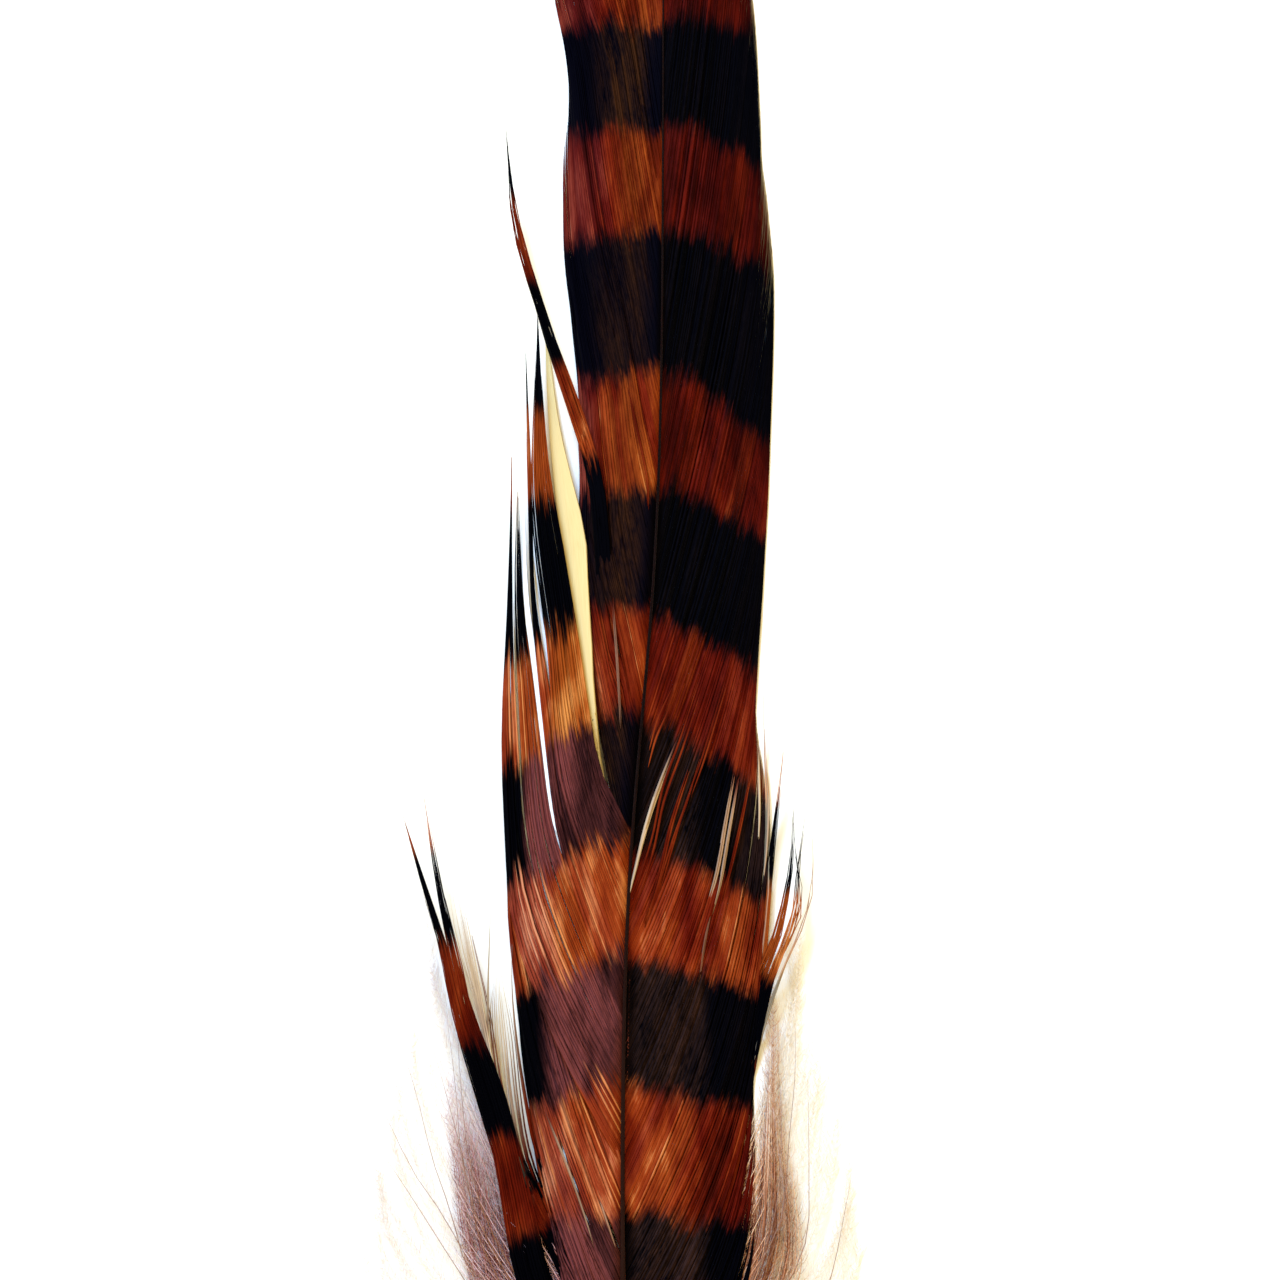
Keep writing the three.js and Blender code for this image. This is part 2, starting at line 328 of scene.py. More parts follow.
BAR_HALF = 0.2235  # half of a black bar, as a share of the way from one bar to the next
TOP_BAR = 2  # the number of the tables' last bar; they say where each starts and ends by the shaft
RIGHT_BARS = [[43.5, 53.6], [66.2, 78], [88.5, 100.8], [110.2, 122.4], [133.2, 147.3], [157.3, 166.8],
              [179, 189], [201.6, 211.7]]
LEFT_BARS = [[43.5, 53.6], [67.2, 78.2], [89.8, 101.1], [111.8, 122.2], [133.8, 146.6], [157, 166.3],
             [179, 189], [201.6, 211.7]]


def bars(paths, lock, rng, black, droop, uneven=0.2):
    """Where each point stands among the bars, which are black around whole numbers. They start and
    end by the shaft at the stations of a table, bend down towards the edge and are set a little
    differently from lock to lock and from barb to barb. Also how far out the point is."""
    away = np.abs(paths[..., 0] - shaft_x(paths[..., 1]))
    shift = rng.normal(0, 0.2, lock.max() + 1)[lock] + rng.normal(0, uneven, len(paths))
    bend = smooth(droop, paths[..., 1]) * (away / VANE_WIDTH) ** 1.5
    station = paths[..., 1] + bend + shift[:, None]
    number = np.arange(len(black)) + TOP_BAR + 1 - len(black)
    ends = number[:, None] + [-BAR_HALF, BAR_HALF]
    return np.interp(station, np.ravel(black), ends.ravel()), away


def tones(paths, lock, rng, table, bright=0.015):
    """A lightness for each point: a table of it up the feather, with each lock and barb a little
    different and a few pale barbs among them."""
    own = varied(rng, lock, 0.035, 0.045)
    own = np.where(rng.random(len(lock)) < bright, 0.2, own)
    return smooth(table, paths[..., 1]) + own[:, None]


def web_shader(name, ink, weak_ink_and_sheen):
    """Barbs dyed rust over a barred ground, plum where hue is below nought and ochre above it. Reads
    the barbs' own values bar, tone, hue, worn (how weak the black is) and faded (to cream). The plum
    at the edge of the left vane and its weak olive black beside the shaft are painted sheen, and the
    cream of the raised light barbs is a painted highlight."""
    material, tree, surface = shader(name)
    value = {key: node(tree, "Attribute", attribute_name=key).outputs["Fac"]
             for key in ("bar", "tone", "hue", "worn", "faded")}
    along_barb = node(tree, "UVMap", uv_map="OFBake").outputs[0]
    fine = noise(tree, along_barb, (42, 1300, 1), 2.0, 0.6)
    place = node(tree, "TexCoord").outputs["Object"]
    cloudy = noise(tree, place, (480, 130, 0), 4.0)
    fine = sums(tree, "SUBTRACT", fine, 0.5)
    cloudy = sums(tree, "SUBTRACT", cloudy, 0.5)
    apart = sums(tree, "ABSOLUTE", sums(tree, "WRAP", value["bar"], 0.5, -0.5))
    ragged = sums(tree, "MULTIPLY_ADD", cloudy, 0.18, sums(tree, "MULTIPLY_ADD", fine, 0.09, apart))
    black = node(tree, "MapRange", ragged, 0.305, 0.19, interpolation_type="SMOOTHSTEP").outputs[0]
    tone = sums(tree, "MULTIPLY_ADD", cloudy, 0.9, sums(tree, "MULTIPLY_ADD", fine, 0.25, value["tone"]))
    rust = ramp(tree, tone, (0.0, (0.01, 0.0004, 0.0003)), (0.25, (0.034, 0.001, 0.0004)),
                (0.45, (0.08, 0.0035, 0.001)), (0.6, (0.13, 0.01, 0.0025)), (0.8, (0.24, 0.034, 0.007)),
                (1.0, (0.5, 0.17, 0.06)))
    ochre = ramp(tree, tone, (0.0, (0.012, 0.0015, 0.0003)), (0.45, (0.085, 0.012, 0.0015)),
                 (0.8, (0.29, 0.07, 0.008)), (1.0, (0.55, 0.23, 0.05)))
    plum = ramp(tree, tone, (0.0, (0.01, 0.0005, 0.0008)), (0.45, (0.075, 0.0055, 0.006)),
                (0.8, (0.24, 0.048, 0.034)), (1.0, (0.5, 0.22, 0.16)))
    dye = mixed(tree, value["hue"], rust, ochre)
    dye = mixed(tree, sums(tree, "MULTIPLY", value["hue"], -1.0), dye, plum)
    patchy = sums(tree, "MULTIPLY_ADD", cloudy, 3.2, sums(tree, "MULTIPLY_ADD", fine, 3.4, 1.0))
    worn = sums(tree, "MULTIPLY", value["worn"], patchy)
    # The weak black: brown and plum bars, and on the left vane by the shaft an olive brown painted sheen.
    colour = mixed(tree, black, dye, mixed(tree, worn, ink, weak_ink_and_sheen))
    # Faded barbs turn cream; on the raised light barbs this cream is a painted highlight.
    cream = ramp(tree, tone, (0.1, (0.26, 0.15, 0.11)), (0.6, (0.6, 0.48, 0.34)),
                 (1.0, (0.85, 0.76, 0.58)))
    colour = mixed(tree, value["faded"], colour, cream)
    tree.links.new(colour, surface.inputs["Base Color"])
    rough = node(tree, "MapRange", fine, -0.2, 0.2, 0.42, 0.6).outputs[0]
    tree.links.new(rough, surface.inputs["Roughness"])
    surface.inputs["Specular IOR Level"].default_value = 0.03
    slanting = node(tree, "Mapping", along_barb, (0, 0, 0), (0, 0, 0.5), (190, 900, 1)).outputs[0]
    hooks = node(tree, "TexWave", slanting, 1.0).outputs[1]
    tree.links.new(node(tree, "Bump", 0.25, 0.00004, hooks).outputs[0], surface.inputs["Normal"])
    return material


def ribbon(count, rng, wide=BARB_WIDTH, point=2.2):
    """Half widths of ribbons that are widest before the middle and end in a fine point."""
    form = (0.5 + 0.5 * eased(T, 0, 0.08)) * (1 - 0.94 * T ** point)
    return wide * form * rng.uniform(0.75, 1.25, (count, 1))


def web(name, material, paths, lock, rng, tilt, black, droop, tone, hue, worn, bright=0.015, uneven=0.2,
        deep=lambda station, away: 0):
    """A piece of web, from its paths and from what its colour does up the feather and outwards. The
    functions hue, worn and deep, how much darker the web is made, read the station and how far out it
    is; on the left vane deep is the painted shade of its furrow."""
    bar, away = bars(paths, lock, rng, black, droop, uneven)
    station = paths[..., 1]
    half = ribbon(len(paths), rng)
    tone = tones(paths, lock, rng, tone, bright) - deep(station, away)
    hue = hue(station, away) + rng.normal(0, 0.12, lock.max() + 1)[lock][:, None]
    worn = worn(station, away) * rng.uniform(0.4, 1.5, lock.max() + 1)[lock][:, None]
    finish_piece(barb_mesh(name, paths, half, BARB_DEPTH, tilt, bar=bar, tone=tone, hue=hue, worn=worn,
                           faded=0.0), material)


RIGHT_SLITS = [(0.2, [[88, 0.6], [94, 1.5], [98, 3.1]])]
RIGHT_DROOP = [[48, 1], [72, 3], [88, 5.5], [98, 7.5], [108, 6], [120, 5.2], [130, 7.5], [145, 5], [155, 6],
               [167, 1.5], [180, 1.5]]
RIGHT_TONE = [[48, 0.66], [60, 0.67], [84, 0.63], [98, 0.52], [106, 0.44], [128, 0.34], [150, 0.29],
              [200, 0.28]]


def right_hue(station, away):
    """A trace of ochre below, and of plum by the shaft above."""
    return 0.05 * eased(station, 110, 70) - 0.3 * eased(station, 130, 150) * eased(away, 6, 3)


def right_worn(station, away):
    """Deep black above; below, weak along the middle of the vane and deep again at its edge."""
    low = eased(station, 106, 100)
    limit = np.interp(station, [76, 86], [7.6, 5.6])
    middle = eased(away, 0.3, 2) * eased(away, limit + 0.7, limit - 0.7)
    return 0.02 + low * (0.3 * middle + 0.3 * eased(away, 9, 10) * eased(station, 82, 88))


def right_deep(station, away):
    """Deep red along the lowest edge and in one streak, and brighter along the edge of the top."""
    low_edge = eased(away, 6.2, 7.4) * eased(station, 66, 62)
    streak = eased(away, 4.7, 5.3) * eased(away, 6.8, 6.2)
    streak = streak * eased(station, 76, 79) * eased(station, 92, 87)
    top_edge = eased(away, 10.6, 11.6) * eased(station, 138, 143) * eased(station, 156, 151)
    return 0.27 * low_edge + 0.28 * streak - 0.22 * top_edge


rng = np.random.default_rng(11)
roots = barb_roots(27, 193.5, rng)
loose = np.interp(roots, [27, 36, 55, 80], [1, 0.5, 0.25, 0.06])
row = row_paths(roots, RIGHT_EDGE)
paths, lock = in_locks(row, (5, 15), 0.6 * loose, rng)
paths, lock = backed(natural(paths, lock, rng, loose), row, lock)
paths = parted(paths, RIGHT_SLITS)
right_web = web_shader("right web", ink=(0.0004, 0.0004, 0.0015), weak_ink_and_sheen=(0.04, 0.017, 0.014))
web("right_vane", right_web, paths, lock, rng, -TILT, RIGHT_BARS, RIGHT_DROOP, RIGHT_TONE, right_hue,
    right_worn, deep=right_deep)

# The left vane above the split: the same web, narrower, olive brown by the shaft and plum or navy at
# its edge, where its outermost lock lies over the rest. The olive brown of its bars by the shaft and the
# plum at its edge are painted sheen, and a painted shade darkens the furrow along the outermost lock.

LEFT_EDGE = [[100, -12.8], [116, -9.6], [124, -7.1], [133, -5.3], [138, -5.8], [142, -6.7], [146, -7.15],
             [154, -7.3], [158, -6.9], [164, -6.9], [172, -7.2], [181, -6], [190, -3.2], [196, 0.1], [200, 3]]
LEFT_SWEEP = [[86, 2.5], [96, 1.9], [110, 1.6], [194, 1.4]]
LEFT_SLITS = [
    (0.26, [[101, -1.9], [106.6, -2.1], [112.5, -2.6]]),
    (0.42, [[116.6, -3.95], [120.6, -4.05]]),
]
# How far to the right the outer part of the web is set at each station.
LEFT_SHIFT = [[90, -0.4], [99, -0.4], [104, -0.25], [110, -0.35], [115, -0.35], [119, -0.1], [123, 0.5],
              [127, 0.6], [132, 0.95], [136, 0.7], [140, 0.45], [144, 0.05], [150, 0], [164, 0], [169, -0.9],
              [173, -0.8], [180, 0], [194, 0]]
# The furrow, where the outermost lock lies over the rest; the web along it is darkened as painted shade.
FURROW = [[140, -3.2], [147, -3.9], [157, -5.6], [169, -5]]
LEFT_DROOP = [[86, 3], [110, 1], [130, 1.3], [150, 0.8], [200, 0.3]]
LEFT_TONE = [[86, 0.7], [106, 0.64], [128, 0.6], [150, 0.5], [200, 0.45]]
# How strongly, by station, a painted sheen weakens the black bars to olive brown by the shaft.
LEFT_SHEEN = [[100, 0.5], [120, 0.42], [145, 0.28], [160, 0.6]]


def left_hue(station, away):
    """Ochre by the shaft and plum at the edge, more of both higher up; the plum is a painted sheen."""
    return (0.4 * eased(away, 6, 3) - 0.8 * eased(away, 5.3, 7)) * eased(station, 108, 124)


def left_worn(station, away):
    """Olive brown bars beside the shaft, a painted sheen, which turn deep black outwards."""
    return 0.01 + eased(away, 7.2, 4) * eased(away, 0.6, 2.6) * np.interp(station, *zip(*LEFT_SHEEN))


rng = np.random.default_rng(12)
roots = barb_roots(86, 193.5, rng)
row = row_paths(roots, LEFT_EDGE, LEFT_SWEEP)
paths, lock = in_locks(row, (5, 13), np.full(len(roots), 0.04), rng)
paths, lock = backed(natural(paths, lock, rng, 0.1), row, lock)
paths = parted(paths, LEFT_SLITS)
off, share = off_line(paths, FURROW)
outermost = eased(off, 0.3, -0.3) * (share > 0)
# A painted shade along the furrow, as if cast by the outermost lock.
furrow_painted_shade = np.exp(-(off / 0.3) ** 2) * (share > 0)
paths[..., 2] += 0.25 * outermost
reach = np.abs(paths[..., 0] - shaft_x(paths[..., 1]))
paths[..., 0] += smooth(LEFT_SHIFT, paths[..., 1]) * eased(reach, 1.5, 5.5)
# The left web's weak ink is the olive brown of the painted sheen by the shaft.
left_web = web_shader("left web", ink=(0.0005, 0.0005, 0.003), weak_ink_and_sheen=(0.03, 0.0095, 0.0034))
web("left_vane", left_web, paths, lock, rng, TILT, LEFT_BARS, LEFT_DROOP, LEFT_TONE, left_hue, left_worn,
    deep=lambda station, away: 0.3 * furrow_painted_shade)

# The left vane below the split: the same web of dyed barbs, each a ribbon from the shaft to the edge,
# goes on up to where the barbs have come apart. Inside its black edge its bars have faded to plum.

LEFT_LOW_EDGE = [[34, -5.5], [44, -7.2], [50, -8.5], [57, -9.5], [64, -10], [70, -10.6], [75, -11.3],
                 [81, -12.1], [88, -12.6], [98, -12.9], [107, -12.7], [118, -12.4]]
LEFT_LOW_SLITS = [
    (0.2, [[51, -4.3], [54.7, -5.4], [58.9, -6.9], [64.5, -9.2]]),
    (0.25, [[51, -2.3], [56, -3.9]]),
    (0.2, [[42, -5.4], [47.5, -6.5], [52, -7.6]]),
    (0.42, [[79, -11.0], [84, -11.5]]),
]
LOW_DROOP = [[48, 1], [64, 5.5], [72, 5.5], [86, 5.2], [98, 5], [108, 5], [114, 3], [121, 1.1], [130, 3.7],
             [140, 4]]
LOW_TONE = [[40, 0.7], [60, 0.77], [84, 0.79], [100, 0.8], [112, 0.74], [128, 0.66]]
BLACK_EDGE = [[60, 6.8], [72, 7.6], [94, 10.3], [120, 10.8]]


def low_hue(station, away):
    """Plum between the black edge and the middle, and ochre along the lowest edge."""
    return (0.1 * eased(away, 6, 3) - 0.55 * eased(away, 5, 7) * eased(away, 9.5, 8.5)
            + 0.7 * eased(station, 66, 62) * eased(away, 5.5, 7) - 0.35 * eased(station, 66, 60))


def low_worn(station, away):
    """The black holds along the edge; inside it is plum, and dark brown by the shaft higher up."""
    edge = smooth(BLACK_EDGE, station)
    inner = np.interp(station, [76, 84], [0.4, 0.2])
    start = np.interp(station, [76, 84], [2, 5.2])
    return (eased(station, 104, 98) * eased(away, edge + 0.5, edge - 0.5)
            * (inner + (0.9 - inner) * eased(away, start, start + 2.3)))


rng = np.random.default_rng(13)
roots = barb_roots(27, 59, rng)
row = row_paths(roots, LEFT_LOW_EDGE)
paths, lock = in_locks(row, (5, 13), np.full(len(roots), 0.5), rng)
paths, lock = backed(natural(paths, lock, rng, 1.0), row, lock)
paths = parted(paths, LEFT_LOW_SLITS)
low_web = web_shader("left low web", ink=(0.0006, 0.0005, 0.0016), weak_ink_and_sheen=(0.142, 0.035, 0.037))
web("left_low_vane", low_web, paths, lock, rng, TILT, LEFT_BARS, LOW_DROOP, LOW_TONE, low_hue, low_worn)

# The split: four locks of the left vane that have unhooked from it and from each other. Each is a fan
# of the same dyed ribbons, spread between the lines of its two edges, which run from the shaft to a
# point a little above the floor ("tip").

SPLIT_LOCKS = [
    {"tip": 1.4,
     "outer": [[75.5, -1], [83, -3.4], [92.4, -6.75], [96.9, -7.7], [102.6, -8.2], [107.4, -8.5],
               [112.1, -9.2], [117.4, -9.9], [123.5, -10.3], [130, -10.1], [139.5, -9.7]],
     "inner": [[90, -0.9], [93, -2.4], [95.6, -3.8], [99.7, -4.6], [104.4, -5.3], [109.2, -6], [114, -6.8],
               [118.8, -7.6], [123.5, -8.5], [130, -9.1], [139.5, -9.7]]},
    {"tip": 1.2,
     "outer": [[71, -1.1], [79, -4.3], [88.2, -7.4], [91.7, -8.1], [96.9, -8.7], [102.6, -9.35],
               [106.6, -9.75], [111.2, -10.2], [115.9, -10.45], [121.6, -10.6], [128.3, -10.8],
               [136.3, -10.83]],
     "inner": [[75.5, -1], [83.5, -3.8], [92.4, -6.95], [96.9, -7.9], [102.6, -8.45], [107.4, -9.25],
               [112.1, -10.05], [117.4, -10.2], [121.6, -10.25], [128.3, -10.45], [136.3, -10.83]]},
    {"tip": 1.0,
     "outer": [[65.5, -1.2], [74, -5.6], [83, -9.2], [92, -10.9], [97.1, -11.15], [102.6, -11.45],
               [107.4, -11.7], [112, -11.85], [116, -11.85], [119, -11.75], [122.8, -11.6]],
     "inner": [[71, -1.1], [80, -4.3], [88, -7.45], [91.7, -8.5], [96.9, -9.15], [102.6, -9.85],
               [106.6, -10.35], [110, -10.9], [113, -11.15], [117, -11.3], [122.8, -11.6]]},
    {"tip": 0.8,
     "outer": [[58, -1.4], [66, -5.8], [74, -9.6], [81.7, -12.2], [85.5, -12.5], [91.2, -12.8],
               [96.9, -13.05], [102.6, -13], [107.4, -12.7], [114.2, -12.45], [121.6, -12.25],
               [125.9, -12.2]],
     "inner": [[65.5, -1.2], [76, -6.5], [85, -9.9], [92, -11.2], [97, -11.45], [102.6, -11.8], [107.4, -12],
               [112, -12.1], [118, -12.15], [125.9, -12.2]]},
]

FRAY = 0.22  # the share of a lock over which its barbs end


def lofted(each, rng, pitch=BARB_PITCH, fray=FRAY):
    """Barbs of one lock, spread between its outer and inner edges, from the shaft to its point."""
    edges = []
    for edge in (each["outer"], each["inner"]):
        y = edge[0][0] + (edge[-1][0] - edge[0][0]) * T
        base = smooth(SHAFT_HEIGHT, y[0]) - 0.1
        edges.append(np.stack([smooth(edge, y), y, base + (each["tip"] - base) * T ** 1.25], -1))
    count = each.get("barbs", int(abs(each["inner"][0][0] - each["outer"][0][0]) / pitch))
    rank = np.linspace(0, 1, count)
    paths = edges[0] + rank[:, None, None] * (edges[1] - edges[0])
    cut = 1 - fray * rng.random(count) ** 1.5 * (0.3 + 1.4 * np.abs(rank - 0.5))
    return np.stack([np.stack([np.interp(T * c, T, p[:, k]) for k in range(3)], -1)
                     for c, p in zip(cut, paths)])


def gathered(locks, rng, fray=FRAY):
    """The paths of several locks in one array, and each barb's lock."""
    each = [lofted(lock, rng, fray=fray) for lock in locks]
    return np.concatenate(each), np.repeat(np.arange(len(locks)), [len(paths) for paths in each])


def split_hue(station, away):
    """Ochre on the lock beside the slit and towards the points, and plum lower down."""
    return (0.55 * eased(away, 9.4, 8) * eased(station, 94, 100) + 0.25 * eased(station, 116, 122)
            - 0.5 * eased(away, 6, 8) * eased(station, 96, 88))


rng = np.random.default_rng(14)
paths, lock = gathered(SPLIT_LOCKS, rng)
paths = natural(paths, np.arange(len(paths)), rng, stray=0.35)
web("split_locks", low_web, paths, lock, rng, TILT, LEFT_BARS, LOW_DROOP, LOW_TONE, split_hue, low_worn,
    bright=0.05, uneven=0.7)

# Pale locks: a few barbs in the slits that stand in for the floor under them, cream in the wide slit
# of the split, a painted shadow where the split lock shades the floor, and white in the narrow ones,
# painted light where the floor there would be lit. They are made as the dyed locks are, and lie a
# little lower beside them and under them up to the station where each is first seen.

TAPER = 2.3  # a thin lock keeps its width up to 1 / TAPER of its length from its point


def narrow(width, line):
    """The two edges of a thin lock that follows a line."""
    y, x = np.array(line, float).T
    half = width / 2 * np.minimum(1, TAPER * (y[-1] - y) / (y[-1] - y[0]))
    return {"outer": np.stack([y, x - half], -1).tolist(), "inner": np.stack([y, x + half], -1).tolist()}


# white: 0 is the cream painted shadow and 1 the blue white painted light of the floor.
SLIT_LIGHT_AND_SHADE_LOCKS = [
    {"white": 0.0, "tip": 0.15, "barbs": 50, "seen": 100,
     "outer": [[84, -0.7], [90, -2.6], [95.9, -4.4], [99.8, -4.9], [102.7, -5.3], [105.6, -5.9],
               [108.6, -6.5], [113, -7.1], [116.4, -7.3], [123.3, -8.1], [130.2, -8.7], [136.8, -9]],
     "inner": [[86, -0.7], [92, -2.4], [95.9, -3.8], [99.8, -4.1], [104.2, -4.5], [108.6, -4.7], [113, -5],
               [117.8, -5.2], [119.9, -5.6], [125, -6.9], [129.2, -7.8], [136.1, -8.7]]},
    {"white": 1.0, "tip": 0.8, "barbs": 12, "seen": 88, **narrow(0.8, [
        [72, -1.2], [80, -4.2], [88, -7.45], [94.8, -8.7], [100.6, -9.45], [106.5, -10.1], [110, -10.6],
        [113, -10.85], [117, -10.95], [123, -11.1]])},
    {"white": 1.0, "tip": 1.2, "barbs": 8, "seen": 102, **narrow(0.6, [
        [75, -1.2], [88, -5.6], [101.8, -8.2], [107.1, -8.85], [111.5, -9.6], [114, -9.9], [118, -10.3]])},
    {"white": 1.0, "tip": 0.7, "barbs": 8, "seen": 93, **narrow(0.5, [
        [66, -1.2], [80, -8], [92, -11], [97, -11.3], [102.6, -11.65], [107.4, -11.85], [112, -12]])},
    {"white": 0.6, "tip": 0.3, "barbs": 6, "seen": 53, **narrow(0.4, [
        [45, -1.2], [51, -4.3], [54.7, -5.4], [58.9, -6.9], [64.5, -9.2]])},
    {"white": 0.6, "tip": 0.5, "barbs": 6, "seen": 44, **narrow(0.4, [
        [30, -1.2], [42, -5.4], [47.5, -6.5], [52, -7.6]])},
]

rng = np.random.default_rng(18)
paths, lock = gathered(SLIT_LIGHT_AND_SHADE_LOCKS, rng, fray=0.1)
seen = np.array([pale["seen"] for pale in SLIT_LIGHT_AND_SHADE_LOCKS])[lock][:, None]
paths[..., 2] = np.maximum(paths[..., 2] - 0.9 * eased(paths[..., 1], seen + 1, seen - 2), 0.15)
slit_light_and_shade, tree, surface = shader("undyed barbs")
white = node(tree, "Attribute", attribute_name="white").outputs["Fac"]
along_barb = node(tree, "UVMap", uv_map="OFBake").outputs[0]
fine = noise(tree, along_barb, (20, 60, 1))
# The cream of the painted shadow in the wide slit.
cream = ramp(tree, fine, (0.3, (0.6, 0.46, 0.215)), (0.7, (0.67, 0.53, 0.265)))
# The blue white of the painted light of the floor in the narrow slits.
painted_lit_floor = (0.86, 0.86, 0.92)
tree.links.new(mixed(tree, white, cream, painted_lit_floor), surface.inputs["Base Color"])
surface.inputs["Roughness"].default_value = 0.7
surface.inputs["Specular IOR Level"].default_value = 0.1
lit_floor_share = np.array([pale["white"] for pale in SLIT_LIGHT_AND_SHADE_LOCKS])[lock]
half = ribbon(len(paths), rng, wide=0.2, point=3)
finish_piece(barb_mesh("slit_light_and_shade_locks", paths, half, thick=0.03, tilt=0.02, white=lit_floor_share), slit_light_and_shade)

# Stray locks: a few dyed barbs that have come right away from the vane and stand off it on both
# sides. They are ribbons gathered to a point, and each lock has its bars at places of its own.

# "bars": the number of a bar, its station on the lock, and the bars in a millimetre from there on.
# BETWEEN is the line along which the two strongest locks on the left touch.
BETWEEN = [[30, -1.4], [40, -6.8], [47.5, -10.1], [53.7, -11.4], [60, -12.7], [65.3, -14.3], [69.2, -15.5],
           [73.2, -17], [76, -17.6]]
STRAY_LOCKS = [
    {"tip": 1.7, "over": True, "bars": (-1, 138.2, 0.064), "faded": 0.0, "barbs": 18, **narrow(1.15, [
        [96, -1.9], [104, -2.6], [112, -3.2], [119, -3.7], [123.6, -4.2], [128, -5.4], [131.5, -6.7],
        [133.6, -7.4], [137.1, -8.7], [140.6, -9.7], [145.4, -11.1], [150.3, -12.1], [156.8, -12.7]])},
    {"tip": 1.8, "over": True, "bars": (-1, 138.2, 0.064), "faded": 0.0, "barbs": 5, **narrow(0.4, [
        [97, -1.9], [105, -2.6], [114, -3.4], [124.5, -4.6], [132, -7], [138, -9.1], [144, -11.1],
        [149, -12.3], [157.7, -12.5]])},
    {"tip": 2.2, "bars": (-4, 65.5, 0.054), "faded": 0.0, "barbs": 16,
     "outer": [[27, -1.4], [38, -7.2], [47.5, -11.7], [53.7, -12.8], [60, -13.9], [65.3, -15.7],
               [69.2, -16.7], [73.2, -18], [75.8, -18.4], [79.3, -19], [82.2, -20], [84.7, -20.7],
               [91.9, -22.5]],
     "inner": BETWEEN + [[79.3, -18.3], [82.5, -19.4], [85.5, -20.4], [91.9, -22.5]]},
    {"tip": 2.3, "bars": (-4, 65.5, 0.054), "faded": 0.0, "barbs": 16,
     "outer": BETWEEN + [[79.3, -18.2], [82.5, -18.9], [86, -19.5], [93.8, -20.5]],
     "inner": [[34, -1.4], [42, -5.8], [47.5, -8.6], [53.7, -10], [60, -11.5], [65.3, -12.8], [69.2, -14.3],
               [73.2, -16], [75.8, -16.6], [78.5, -17], [81, -17.8], [83.6, -18.4], [86.6, -19],
               [93.8, -20.5]]},
    {"tip": 1.7, "bars": (-3.55, 66, 0.013), "faded": 0.9, "barbs": 14,
     "outer": [[35.5, -1.4], [47, -7], [57.5, -11.6], [66, -13.9], [71.8, -15], [75.8, -16.2], [80, -17.4],
               [87, -18.4]],
     "inner": [[38, -1.4], [49, -7], [59, -11.4], [66, -13.4], [71.8, -14.5], [75.8, -15.2], [80, -16],
               [84, -16.9]]},
    {"tip": 1.5, "bars": (-3.5, 66, 0.013), "faded": 0.1, "barbs": 3, **narrow(0.3, [
        [38, -1.4], [49, -7], [59, -11.2], [66, -13.3], [71.8, -14.1], [75.8, -14.9], [79.5, -15.8],
        [83, -16.4]])},
    {"tip": 1.6, "bars": (-3, 80, 0.035), "faded": 0.65, "barbs": 2, **narrow(0.2, [
        [39, -1.4], [50, -7.4], [60, -11.8], [67, -14.2], [73.2, -14.4], [78.5, -14.3], [84.3, -14.1]])},
    {"tip": 0.9, "bars": (-3.55, 66, 0.013), "faded": 1.0, "barbs": 10,
     "outer": [[38, -1.4], [49, -7.6], [57, -11.6], [62.6, -13.3], [68, -14.0], [74, -14.2], [77, -13.6]],
     "inner": [[42, -1.4], [50, -6.4], [56, -9.2], [60, -10.6], [65.5, -11.4], [71.3, -12.0], [77, -13.2]]},
    {"tip": 1.0, "bars": (-3.55, 66, 0.013), "faded": 0.8, "barbs": 3, **narrow(0.25, [
        [42, -1.4], [52, -6.8], [59, -9.6], [64, -10.7], [70.3, -11.7], [76, -12.2], [80.5, -12.1]])},
    {"tip": 1.3, "bars": (-3, 88.9, 0.064), "faded": 0.0, "barbs": 7, **narrow(0.9, [
        [47, -1.7], [58, 5.2], [70, 10], [80, 11.7], [84.8, 12.1], [88, 12.5], [93.1, 13.1], [97.2, 13.6],
        [100.7, 13.8]])},
    {"tip": 1.3, "bars": (-3, 88.9, 0.064), "faded": 0.25, "barbs": 4, **narrow(0.5, [
        [50, -1.7], [61, 5.6], [73, 10.2], [83, 11.8], [88, 12], [92.5, 12.1], [98, 11.8], [105, 11.7]])},
    {"tip": 1.4, "bars": (-3, 88.7, 0.06), "faded": 0.0, "barbs": 11, **narrow(1.4, [
        [43, -1.7], [53, 4.4], [65, 8.9], [75.3, 11.1], [79.8, 12.9], [84.8, 14], [88.6, 14.5],
        [92.8, 14.5]])},
    {"tip": 1.7, "bars": (-3, 88.7, 0.06), "faded": 0.0, "barbs": 6, **narrow(0.8, [
        [40.5, -1.7], [50, 4.2], [62, 9.2], [72, 11.3], [77, 12.6], [80, 13.9], [83, 14.9], [86.7, 14.9],
        [89.3, 15.4], [93.4, 15.9]])},
    {"tip": 1.5, "bars": (-3, 88.7, 0.06), "faded": 0.0, "barbs": 5, **narrow(0.6, [
        [41.5, -1.7], [51, 4.2], [63, 9.2], [73, 11.3], [76, 12.1], [79, 13.6], [82, 15.3], [84.5, 15.4],
        [87.5, 14.7], [91, 14.6]])},
    {"tip": 1.3, "bars": (-2.4, 87, 0.035), "faded": 0.35, "barbs": 3, **narrow(0.3, [
        [38.5, -1.7], [48, 4], [60, 9], [70, 11.2], [77.9, 13.8], [81.4, 15.5], [83, 16.15], [86.2, 16.4],
        [90.9, 16.3]])},
]
STRAY_TONE = [[40, 0.5], [66, 0.46], [72, 0.44], [77, 0.6], [95, 0.66], [120, 0.6], [160, 0.5]]
MEAN_REACH, MEAN_SWEEP = 51.0, 1.7  # of the barbs where the stray locks and light barbs cross the web
